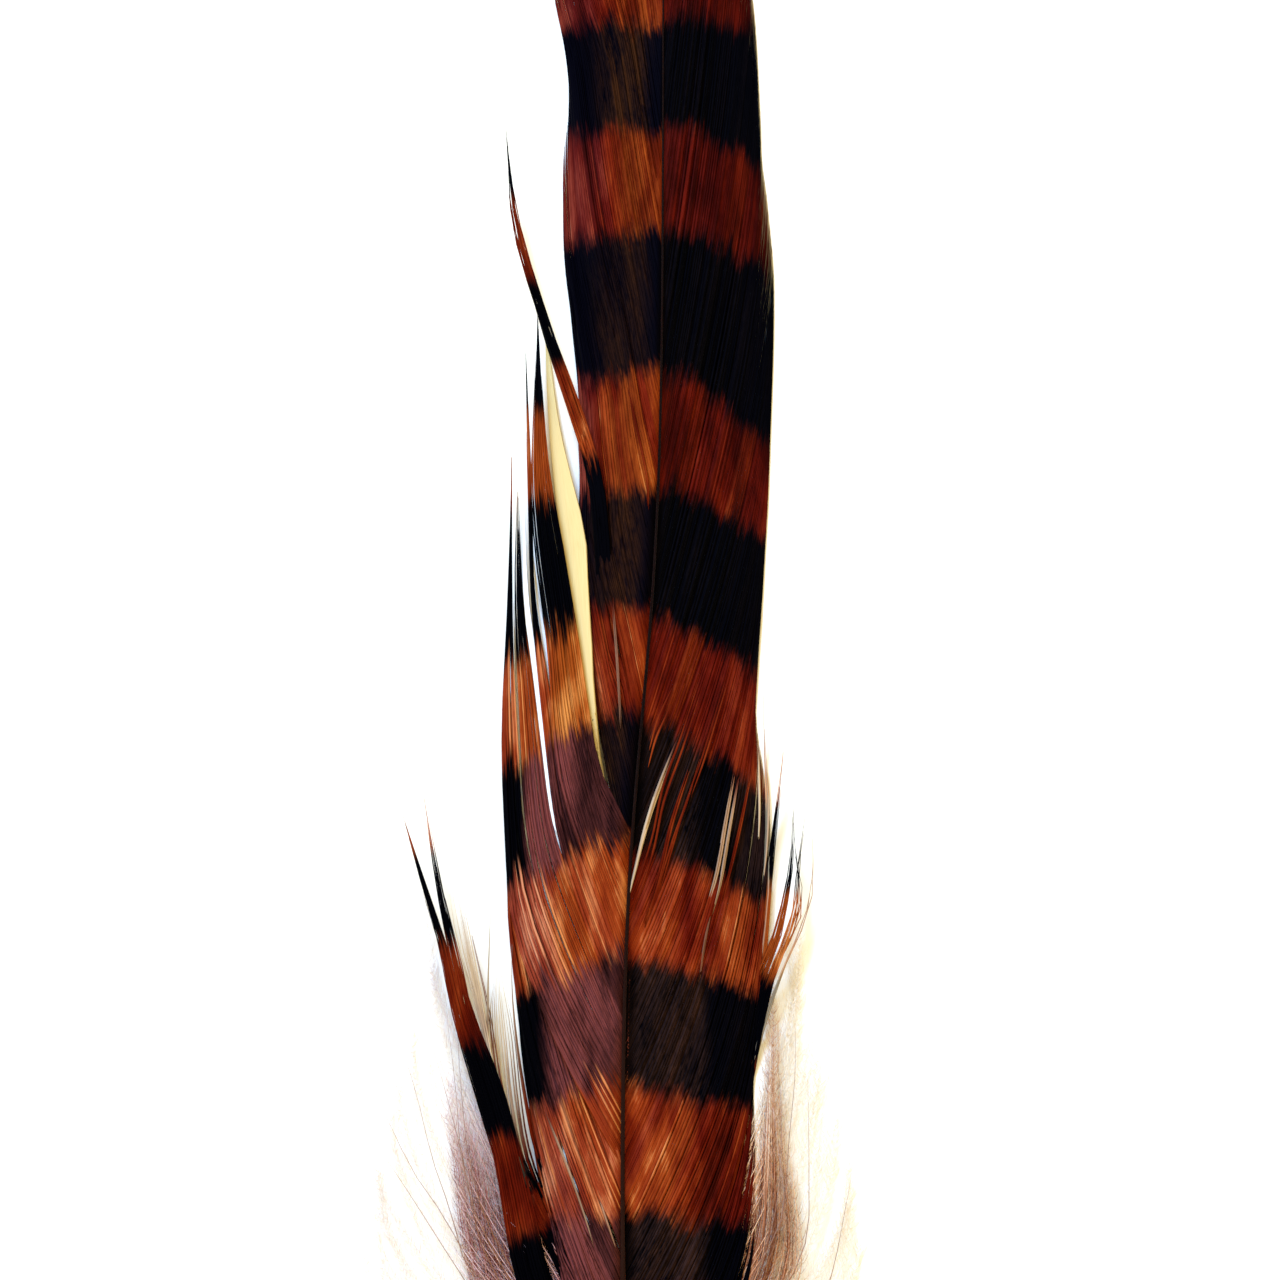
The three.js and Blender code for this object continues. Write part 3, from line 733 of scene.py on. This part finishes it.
HIDDEN = -0.4  # how far under the web a lock lies where it crosses a vane


def on_web(plan):
    """The height of the web under points of the plan."""
    out = np.clip(np.abs(plan[..., 0] - shaft_x(plan[..., 1])) / VANE_WIDTH, 0, 1)
    base = smooth(SHAFT_HEIGHT, plan[..., 1] - MEAN_REACH * (1 - (1 - out) ** (1 / MEAN_SWEEP)))
    return base + (TIP_HEIGHT - base) * out ** DROP


def tucked(paths, over):
    """Paths lowered under the web where they cross a vane, or raised over it past its middle."""
    station = paths[..., 1]
    middle = shaft_x(station)
    left_edge = np.where(station < 118, smooth(LEFT_LOW_EDGE, station), smooth(LEFT_EDGE, station))
    edge = np.where(paths[..., 0] < middle, left_edge, smooth(RIGHT_EDGE, station))
    on_vane = eased((paths[..., 0] - middle) / (edge - middle), 1.15, 0.95)
    out = paths.copy()
    rise = np.where(over, 0.2 - 0.6 * eased(station, 120, 112), HIDDEN)
    out[..., 2] += on_vane * (on_web(paths) + rise - paths[..., 2])
    out[..., 2] = np.maximum(out[..., 2], 0.15)
    return out


rng = np.random.default_rng(15)
paths, lock = gathered(STRAY_LOCKS, rng, fray=0.2)
paths = natural(paths, np.arange(len(paths)), rng, stray=0.3)
paths = tucked(paths, np.array([stray.get("over", False) for stray in STRAY_LOCKS])[lock][:, None])
anchor, here, rate = np.array([stray["bars"] for stray in STRAY_LOCKS])[lock].T[..., None]
apart = anchor + (paths[..., 1] - here) * rate + rng.normal(0, 0.015, (len(paths), 1))
bar, away = bars(paths, lock, rng, LEFT_BARS, LOW_DROOP)
faded = np.array([stray["faded"] for stray in STRAY_LOCKS])[lock]
on_right = eased(paths[..., 0], 9, 12)
half = ribbon(len(paths), rng, wide=0.19, point=1.4)
finish_piece(barb_mesh("stray_locks", paths, half, BARB_DEPTH, tilt=0.2,
                       bar=bar + (apart - bar) * eased(T, 0.35, 0.55),
                       hue=0.1 + 0.35 * on_right, worn=0.0,
                       tone=tones(paths, lock, rng, STRAY_TONE, 0.04) + 0.15 * on_right,
                       faded=faded[:, None] * eased(away, 9, 12)), low_web)

# Light barbs: single barbs that lie raised on the web, mostly where it has begun to part. Their
# paleness is a painted highlight on the raised barbs. Each is a thin ribbon that follows a line of its
# own, and its painted highlight fades at its end.

# How pale the painted highlight is, how many side by side, their half width, and their line.
RAISED_HIGHLIGHT_BARBS = [
    (0.9, 3, 0.16, [[84.0, -1.0], [86.8, -0.3], [90, 0.5], [93.2, 1.5], [97.8, 3.3]]),
    (0.0, 2, 0.12, [[83.6, -0.6], [89.3, 1.2], [94, 2.2], [99, 4.0], [104, 5.6]]),
    (0.0, 2, 0.12, [[81.6, 0.4], [86, 1.8], [91, 3.0], [96, 4.6]]),
    (0.6, 4, 0.12, [[81.5, 6.0], [82.9, 6.5], [85.9, 7.4], [91.1, 8.3], [96.2, 9.2]]),
    (0.2, 2, 0.1, [[76, 5.6], [80, 6.2], [84, 7.0]]),
    (0.0, 2, 0.1, [[83, 7.8], [87, 8.8], [91, 9.7], [95, 10.5]]),
    (0.9, 1, 0.12, [[87.5, 11.2], [91, 11.35], [95, 11.3], [98, 11.2]]),
    (0.6, 1, 0.12, [[85, 11.7], [89, 12.1], [93, 12.2], [96, 12.0]]),
    (0.0, 2, 0.1, [[97.5, 0.8], [100.4, 1.6], [103.5, 3.0]]),
    (0.0, 2, 0.1, [[93.1, 4.75], [96.6, 6.0], [103.5, 8.1]]),
    (0.0, 2, 0.1, [[81, 0.5], [89, 3.1], [93.1, 4.6], [96.5, 5.6]]),
    (0.0, 2, 0.1, [[84, 1.9], [90, 3.6], [95, 5.2]]),
    (0.0, 2, 0.1, [[121, 0.76], [124, 0.63], [132.1, -1.08]]),
    (0.25, 2, 0.08, [[100.5, -1.8], [106.6, -2.15], [112.5, -2.6]]),
    (0.2, 2, 0.08, [[96.5, -5.0], [104, -6.2], [110, -7.2]]),
    (0.45, 2, 0.08, [[51.5, -4.4], [54.7, -5.4], [58.9, -6.9], [64.2, -9.1]]),
    (0.4, 2, 0.08, [[51, -2.3], [55.8, -3.9]]),
    (0.2, 2, 0.08, [[66, -3.0], [70.5, -4.4], [76, -6.0]]),
]

rng = np.random.default_rng(16)
paths, faded, half = [], [], []
for pale, count, width, line in RAISED_HIGHLIGHT_BARBS:
    y = line[0][0] + (line[-1][0] - line[0][0]) * T
    for step in range(count):
        aside = width * 1.1 * (step - (count - 1) / 2)
        plan = np.stack([smooth(line, y) + aside, y + rng.normal(0, 0.6)], -1)
        rise = 0.06 + 0.2 * np.sin(np.pi * T)
        paths.append(np.concatenate([plan, (on_web(plan) + rise)[:, None]], -1))
        faded.append(pale * rng.uniform(0.6, 1.0))
        half.append(width)
paths = np.array(paths)
thin = np.array(half)[:, None] * (0.1 + 0.9 * np.sin(np.pi * T) ** 0.7)
# The paleness, given as faded, is the painted highlight, gone at the barb's end.
finish_piece(barb_mesh("raised_highlight_barbs", paths, thin, thick=0.035, tilt=0, bar=0.5, hue=0.15, worn=0.0,
                       tone=rng.uniform(0.42, 0.62, len(paths)),
                       faded=np.array(faded)[:, None] * eased(T, 1, 0.75)), low_web)

# The down: at the foot of both vanes the barbs are loose and pale, and carry long soft barbules that
# aren't hooked together. Next to the web they are tinted by the dye, and further out they are white.
# The barbs are thin ribbons that leave the shaft under the web, and the barbules hairs along them.

DOWN_EDGES = {"left": [[34, -22], [44, -25], [54, -25.5], [64, -24], [76, -20]],
              "right": [[34, 20], [44, 21.4], [54, 20.4], [64, 18.5], [76, 15]]}
TINTED_DOWN = {
    "left": {
        "tip": 0.6,
        "outer": [[22, -1.2], [33, -8.5], [43, -14.8], [52, -17.2], [60, -18.0], [67, -18.9]],
        "inner": [[31, -1.2], [41, -7.6], [48, -11.4], [54, -12.6], [60, -13.9], [67, -16.6]]},
    "right": {
        "tip": 0.8,
        "outer": [[22, -1.6], [34, 6.2], [47.5, 14.6], [57, 14.3], [64, 13.6], [76, 13.0]],
        "inner": [[29, -1.6], [38, 4.2], [47.5, 9.2], [57, 11.0], [64, 11.6], [76, 12.4]]},
}

DOWN_ROOTS = np.arange(18.5, 42, 0.5)
DOWN_SIDES = -26.5, 22.4  # no barbule reaches further out on either side
DOWN_TOP = 4.0


def barbules(paths, rng, spacing, length):
    """Soft side hairs along both sides of the barbs, as paths of four points."""
    size = np.linalg.norm(np.diff(paths, axis=1), axis=2).sum(1)
    hairs = []
    for path, whole in zip(paths, size):
        t = np.repeat(np.arange(0.12, 1, spacing / whole), 2)
        t = t + rng.uniform(-0.3, 0.3, len(t)) * spacing / whole
        base = np.stack([np.interp(t, T, path[:, k]) for k in range(3)], -1)
        heading = np.stack([np.interp(t, T, np.gradient(path[:, k])) for k in range(3)], -1)
        heading /= np.linalg.norm(heading, axis=1, keepdims=True)
        sideways = np.stack([heading[:, 1], -heading[:, 0], 0 * t], -1)
        sideways *= np.resize([1, -1], len(t))[:, None]
        reach = length * rng.uniform(0.5, 1.2, len(t)) * (1 - 0.55 * t)
        lean = rng.uniform(0.4, 0.9, len(t))
        steps = np.linspace(0, 1, 4)[None, :, None]
        way = ((sideways * lean[:, None])[:, None] * (steps - 0.35 * steps ** 2)
               + heading[:, None] * (0.45 * steps + 0.6 * steps ** 2))
        hair = base[:, None] + way * reach[:, None, None]
        hair[..., 2] += rng.normal(0, 0.35, (len(t), 1)) * steps[..., 0]
        hairs.append(hair)
    hairs = np.concatenate(hairs)
    hairs[..., 0] = np.clip(hairs[..., 0], *DOWN_SIDES)
    hairs[..., 2] = np.clip(hairs[..., 2], 0.1, DOWN_TOP)
    return hairs


def over_tint(side, paths):
    """How far each point of the white down lies over the tinted down: 0 beside it, 1 over it."""
    outer = np.abs(smooth(TINTED_DOWN[side]["outer"], np.clip(paths[..., 1], 33, 67)))
    return eased(np.abs(paths[..., 0]) - outer, 0.4, -1.0) * eased(paths[..., 1], 67, 58)


def down_shader(name, *colours):
    """Soft matt down, whose colour runs through the list as the hair's own tone goes from 0 to 1."""
    material, tree, surface = shader(name)
    tone = node(tree, "Attribute", attribute_name="tone").outputs["Fac"]
    stops = [(k / (len(colours) - 1), colour) for k, colour in enumerate(colours)]
    tree.links.new(ramp(tree, tone, *stops), surface.inputs["Base Color"])
    surface.inputs["Roughness"].default_value = 0.75
    surface.inputs["Specular IOR Level"].default_value = 0.1
    return material


DOWN_COLOURS = {
    "left": [(0.12, 0.028, 0.02), (0.42, 0.155, 0.14), (0.72, 0.53, 0.55), (0.88, 0.88, 0.9)],
    "right": [(0.14, 0.038, 0.018), (0.5, 0.21, 0.11), (0.76, 0.54, 0.38), (0.9, 0.9, 0.88)],
}
for seed, (side, edge) in enumerate(DOWN_EDGES.items()):
    rng = np.random.default_rng(20 + seed)
    fluff = down_shader(side + " down", *DOWN_COLOURS[side])
    paths = row_paths(DOWN_ROOTS, edge, tip_height=0.6)
    paths, lock = in_locks(paths, (2, 6), np.full(len(paths), 0.35), rng)
    paths = natural(paths, lock, rng, stray=3.0)
    wide = rng.normal(0, 0.5, (len(paths), 1))
    paths[..., 0] += wide * np.sin(2 * np.pi * (T * 1.1 + rng.random((len(paths), 1)))) * T
    paths[..., 2] = np.clip(paths[..., 2] - 0.25, 0.15, DOWN_TOP)
    paths = tucked(paths, False)
    pale = 0.8 + 0.2 * rng.random((len(paths), 1))
    half = ribbon(len(paths), rng, wide=0.05)
    tone = pale * eased(T, 0.05, 0.3) - 0.4 * over_tint(side, paths)
    finish_piece(barb_mesh(side + "_down", paths, half, thick=0.03, tilt=0, tone=tone), fluff)
    hairs = tucked(barbules(paths, rng, spacing=0.6, length=3.2), False)
    fine = np.broadcast_to([0.02, 0.016, 0.01, 0.004], hairs.shape[:2])
    tone = rng.uniform(0.78, 1, (len(hairs), 1)) - 0.4 * over_tint(side, hairs)
    finish_piece(barb_mesh(side + "_barbules", hairs, fine, fine, tilt=0, sides=3, tone=tone), fluff)

    paths = lofted(TINTED_DOWN[side], rng, pitch=0.14, fray=0.6)
    near_web = np.linspace(0, 1, len(paths))[:, None]
    paths = natural(paths, np.arange(len(paths)), rng, stray=2.0)
    paths[..., 2] *= 0.7
    paths = tucked(paths, False)
    tone = (rng.uniform(0.0, 0.75, (len(paths), 1)) + 0.25 * T
            - (0.22 + 0.4 * near_web) * eased(paths[..., 1], 64, 52))
    half = ribbon(len(paths), rng, wide=0.06)
    finish_piece(barb_mesh(side + "_tinted_down", paths, half, thick=0.03, tilt=0, tone=tone), fluff)
    hairs = tucked(barbules(paths, rng, spacing=1.1, length=2.4), False)
    fine = np.broadcast_to([0.02, 0.017, 0.012, 0.005], hairs.shape[:2])
    tone = rng.uniform(0.2, 0.85, (len(hairs), 1)) - 0.3 * eased(hairs[..., 1], 64, 52)
    finish_piece(barb_mesh(side + "_tinted_barbules", hairs, fine, fine, tilt=0, sides=3, tone=tone),
                 fluff)

# Long hairs: single barbs that have lost their barbules and stand out of the down. Each is a hair
# from the shaft along a line of its own, dark at its foot and paler towards its tip.

HAIRS = [
    [[22, -1.2], [36, -9.5], [49, -16.0], [54.9, -19.4], [57.9, -21.5], [63.2, -24.1], [65.5, -25.4]],
    [[25, -1.2], [38, -9.5], [49.7, -16.7], [53.7, -17.8], [59.2, -19.7], [65.3, -21.2], [69.4, -22.5]],
    [[28, -1.2], [41, -9.5], [51, -15.0], [56.2, -16.2], [60, -17.0], [65, -18.3], [69.2, -19.5]],
    [[21, -1.2], [34, -9.2], [45, -15.0], [51, -18.8], [56.5, -22.3], [60.8, -25.2]],
    [[30, -1.2], [43, -9.5], [54, -15.6], [60, -17.0], [63.9, -17.3], [68.7, -17.8], [72.4, -18.3]],
    [[31, -1.2], [44, -9.2], [53, -14.4], [59, -16.2], [63, -16.7], [67.6, -17.1], [73, -17.4]],
    [[30, -1.6], [40, 6.0], [50, 11.8], [54.4, 13.6], [60, 13.1], [64, 12.6]],
    [[28, -1.6], [39, 6.2], [50, 12.4], [54.4, 13.6], [60.8, 14.1], [67.2, 14.7], [72, 14.7]],
    [[25, -1.6], [36, 6.0], [46, 13.2], [51.3, 15.7], [57.7, 16.0], [66.8, 15.9]],
    [[20, -1.5], [30, 6.5], [40, 14.5], [48.2, 18.2], [50.4, 18.7], [57.3, 20.0]],
    [[29, -1.6], [39, 5.6], [49, 11.2], [54, 12.8], [60, 13.4], [66, 13.3]],
]
rng = np.random.default_rng(30)
paths = np.concatenate([lofted({"tip": 1.4, "barbs": 1, **narrow(0, line)}, rng, fray=0)
                        for line in HAIRS])
paths[..., 2] = np.maximum(paths[..., 2], 0.3)
slim = np.broadcast_to(0.075 * (1 - 0.8 * T ** 1.5), paths.shape[:2])
hair_shade = down_shader("long hairs", (0.13, 0.035, 0.01), (0.2, 0.09, 0.055), (0.36, 0.28, 0.28))
tone = T * rng.uniform(0.7, 1.1, (len(paths), 1))
finish_piece(barb_mesh("long_hairs", paths, slim, slim, tilt=0, sides=5, tone=tone), hair_shade)

# The floor: a plain pale sheet of matt paper that the feather lies on. It is only a stage, and no
# part of the feather.

bpy.ops.mesh.primitive_plane_add(size=3)
floor = bpy.context.object
floor.name = "floor"
paper, tree, surface = shader("pale floor")
surface.inputs["Base Color"].default_value = (0.86, 0.855, 0.85, 1)
surface.inputs["Roughness"].default_value = 0.9
surface.inputs["Specular IOR Level"].default_value = 0.1
floor.data.materials.append(paper)

# Studio light: a cool soft lamp, low above the tip and a little left, and a warm even fill that
# leaves no gloss of its own.

world = bpy.data.worlds.new("fill")
bpy.context.scene.world = world
world.use_nodes = True
world.node_tree.nodes["Background"].inputs[0].default_value = (1.0, 0.78, 0.36, 1)
world.node_tree.nodes["Background"].inputs[1].default_value = 1.4
world.cycles_visibility.glossy = False

lamp = bpy.data.lights.new("key", "AREA")
lamp.energy = 36
lamp.size = 0.3
lamp.color = (0.36, 0.62, 1.0)
key = bpy.data.objects.new("key", lamp)
bpy.context.scene.collection.objects.link(key)
key.location = (-0.36, 1.02, 0.6)
key.rotation_euler = (-key.location).to_track_quat("-Z", "Y").to_euler()

# The camera looks straight down on the middle of the vane, from far enough for a flat view. Its
# square frame is as wide as the photograph's, which crops off the tip and the quill.

VIEW_STATION, VIEW_HEIGHT, VIEW_WIDTH = 108.3, 600, 121.6

camera = bpy.data.objects.new("camera", bpy.data.cameras.new("camera"))
bpy.context.scene.collection.objects.link(camera)
camera.location = in_frame(0, VIEW_STATION, VIEW_HEIGHT)
camera.data.lens = camera.data.sensor_width * VIEW_HEIGHT / VIEW_WIDTH
camera.data.clip_end = 10
bpy.context.scene.camera = camera
bpy.context.scene.view_settings.view_transform = "Standard"
